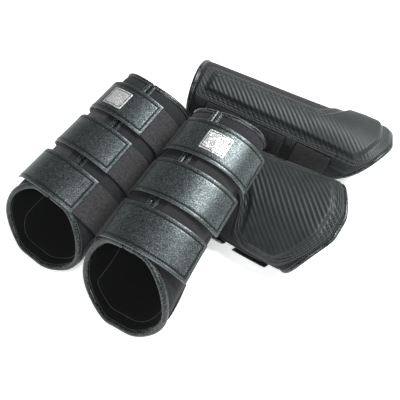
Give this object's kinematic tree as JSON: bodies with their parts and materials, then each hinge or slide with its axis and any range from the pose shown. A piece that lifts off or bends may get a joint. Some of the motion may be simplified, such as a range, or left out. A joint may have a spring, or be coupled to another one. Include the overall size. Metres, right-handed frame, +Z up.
{
  "type": "tendon boots",
  "caption": "Wrap-around horse leg boots lying closed in a pile, with padded neoprene shells, ribbed strike pads and elastic straps ending in hook-and-loop tabs.",
  "frame": {"origin": "on the surface the pile lies on, at the centre of its footprint", "axes": "+Z up; the two upper boots lie nearly along Y with their fetlock ends towards -Y; the two lower boots lie nearly along X with their fetlock ends towards +X"},
  "size_m": [0.3346, 0.4148, 0.1446],
  "materials": {
    "neoprene": "matt fabric-faced neoprene foam",
    "lining_fabric": "smooth knitted lining",
    "glitter_binding": "glossy glitter synthetic leather piping",
    "moulded_pad": "satin moulded rubber with carbon-look ribs",
    "loop_pile": "brushed loop pile",
    "woven_elastic": "ribbed woven elastic",
    "glitter_leather": "fine glitter synthetic leather",
    "hook_tape": "moulded nylon hooks",
    "silver_glitter": "coarse silver glitter film"
  },
  "bodies": {
    "front_right_boot": {"front_right_shell": "neoprene", "front_right_lining": "lining_fabric", "front_right_edge_binding": "glitter_binding", "front_right_strike_pad": "moulded_pad", "front_right_loop_panel": "loop_pile", "front_right_lower_elastic": "woven_elastic", "front_right_middle_elastic": "woven_elastic", "front_right_upper_elastic": "woven_elastic"},
    "front_right_lower_closure": {"front_right_lower_tab": "glitter_leather", "front_right_lower_hook_pad": "hook_tape"},
    "front_right_middle_closure": {"front_right_middle_tab": "glitter_leather", "front_right_middle_hook_pad": "hook_tape"},
    "front_right_upper_closure": {"front_right_upper_tab": "glitter_leather", "front_right_upper_hook_pad": "hook_tape", "front_right_badge": "silver_glitter"},
    "hind_left_boot": {"hind_left_shell": "neoprene", "hind_left_lining": "lining_fabric", "hind_left_edge_binding": "glitter_binding", "hind_left_strike_pad": "moulded_pad", "hind_left_loop_panel": "loop_pile", "hind_left_lower_elastic": "woven_elastic", "hind_left_middle_elastic": "woven_elastic", "hind_left_upper_elastic": "woven_elastic"},
    "hind_left_lower_closure": {"hind_left_lower_tab": "glitter_leather", "hind_left_lower_hook_pad": "hook_tape"},
    "hind_left_middle_closure": {"hind_left_middle_tab": "glitter_leather", "hind_left_middle_hook_pad": "hook_tape"},
    "hind_left_upper_closure": {"hind_left_upper_tab": "glitter_leather", "hind_left_upper_hook_pad": "hook_tape", "hind_left_badge": "silver_glitter"},
    "hind_right_boot": {"hind_right_shell": "neoprene", "hind_right_lining": "lining_fabric", "hind_right_edge_binding": "glitter_binding", "hind_right_strike_pad": "moulded_pad", "hind_right_loop_panel": "loop_pile", "hind_right_lower_elastic": "woven_elastic", "hind_right_middle_elastic": "woven_elastic", "hind_right_upper_elastic": "woven_elastic"},
    "hind_right_lower_closure": {"hind_right_lower_tab": "glitter_leather", "hind_right_lower_hook_pad": "hook_tape"},
    "hind_right_middle_closure": {"hind_right_middle_tab": "glitter_leather", "hind_right_middle_hook_pad": "hook_tape"},
    "hind_right_upper_closure": {"hind_right_upper_tab": "glitter_leather", "hind_right_upper_hook_pad": "hook_tape", "hind_right_badge": "silver_glitter"},
    "front_left_boot": {"front_left_shell": "neoprene", "front_left_lining": "lining_fabric", "front_left_edge_binding": "glitter_binding", "front_left_strike_pad": "moulded_pad", "front_left_loop_panel": "loop_pile", "front_left_lower_elastic": "woven_elastic", "front_left_middle_elastic": "woven_elastic", "front_left_upper_elastic": "woven_elastic"},
    "front_left_lower_closure": {"front_left_lower_tab": "glitter_leather", "front_left_lower_hook_pad": "hook_tape"},
    "front_left_middle_closure": {"front_left_middle_tab": "glitter_leather", "front_left_middle_hook_pad": "hook_tape"},
    "front_left_upper_closure": {"front_left_upper_tab": "glitter_leather", "front_left_upper_hook_pad": "hook_tape", "front_left_badge": "silver_glitter"}
  },
  "joints": [
    {"name": "front_right_lift_off", "type": "slide", "parent": "front_left_boot", "child": "front_right_boot", "axis": [-0.3271, -0.1402, 0.9345], "range_m": [0, 0.12]},
    {"name": "hind_left_lift_off", "type": "slide", "parent": "front_left_boot", "child": "hind_left_boot", "axis": [0, 0, 1], "range_m": [0, 0.15]},
    {"name": "hind_right_lift_off", "type": "slide", "parent": "front_left_boot", "child": "hind_right_boot", "axis": [0, 0.4472, 0.8944], "range_m": [0, 0.12]},
    {"name": "front_right_lower_peel", "type": "hinge", "parent": "front_right_boot", "child": "front_right_lower_closure", "pos_m": [-0.06902, -0.13616, 0.0874], "axis": [0.1063, 0.9393, 0.3261], "range_deg": [0, 70]},
    {"name": "front_right_middle_peel", "type": "hinge", "parent": "front_right_boot", "child": "front_right_middle_closure", "pos_m": [-0.06453, -0.08239, 0.10485], "axis": [0.0607, 0.9535, 0.2951], "range_deg": [0, 70]},
    {"name": "front_right_upper_peel", "type": "hinge", "parent": "front_right_boot", "child": "front_right_upper_closure", "pos_m": [-0.06109, -0.02828, 0.1216], "axis": [0.0605, 0.9536, 0.295], "range_deg": [0, 70]},
    {"name": "hind_left_lower_peel", "type": "hinge", "parent": "hind_left_boot", "child": "hind_left_lower_closure", "pos_m": [-0.02422, -0.14434, 0.09205], "axis": [0.0404, -0.9539, -0.2975], "range_deg": [0, 70]},
    {"name": "hind_left_middle_peel", "type": "hinge", "parent": "hind_left_boot", "child": "hind_left_middle_closure", "pos_m": [-0.02494, -0.08741, 0.10848], "axis": [-0.0071, -0.9647, -0.2633], "range_deg": [0, 70]},
    {"name": "hind_left_upper_peel", "type": "hinge", "parent": "hind_left_boot", "child": "hind_left_upper_closure", "pos_m": [-0.02451, -0.0302, 0.12409], "axis": [-0.0074, -0.9647, -0.2631], "range_deg": [0, 70]},
    {"name": "hind_right_lower_peel", "type": "hinge", "parent": "hind_right_boot", "child": "hind_right_lower_closure", "pos_m": [0.07599, 0.08883, 0.02385], "axis": [-0.9279, -0.3194, 0.1924], "range_deg": [0, 70]},
    {"name": "hind_right_middle_peel", "type": "hinge", "parent": "hind_right_boot", "child": "hind_right_middle_closure", "pos_m": [0.02022, 0.07448, 0.03783], "axis": [-0.9458, -0.1885, 0.2643], "range_deg": [0, 70]},
    {"name": "hind_right_upper_peel", "type": "hinge", "parent": "hind_right_boot", "child": "hind_right_upper_closure", "pos_m": [-0.03587, 0.0633, 0.05351], "axis": [-0.9458, -0.1883, 0.2645], "range_deg": [0, 22]},
    {"name": "front_left_lower_peel", "type": "hinge", "parent": "front_left_boot", "child": "front_left_lower_closure", "pos_m": [0.08693, 0.0384, 0.01765], "axis": [0.9996, 0.0261, -0.0145], "range_deg": [0, 70]},
    {"name": "front_left_middle_peel", "type": "hinge", "parent": "front_left_boot", "child": "front_left_middle_closure", "pos_m": [0.03021, 0.03747, 0.01818], "axis": [1, 0.0075, -0.0045], "range_deg": [0, 70]},
    {"name": "front_left_upper_peel", "type": "hinge", "parent": "front_left_boot", "child": "front_left_upper_closure", "pos_m": [-0.02647, 0.03928, 0.01724], "axis": [0.997, -0.0685, 0.0363], "range_deg": [0, 70]}
  ]
}
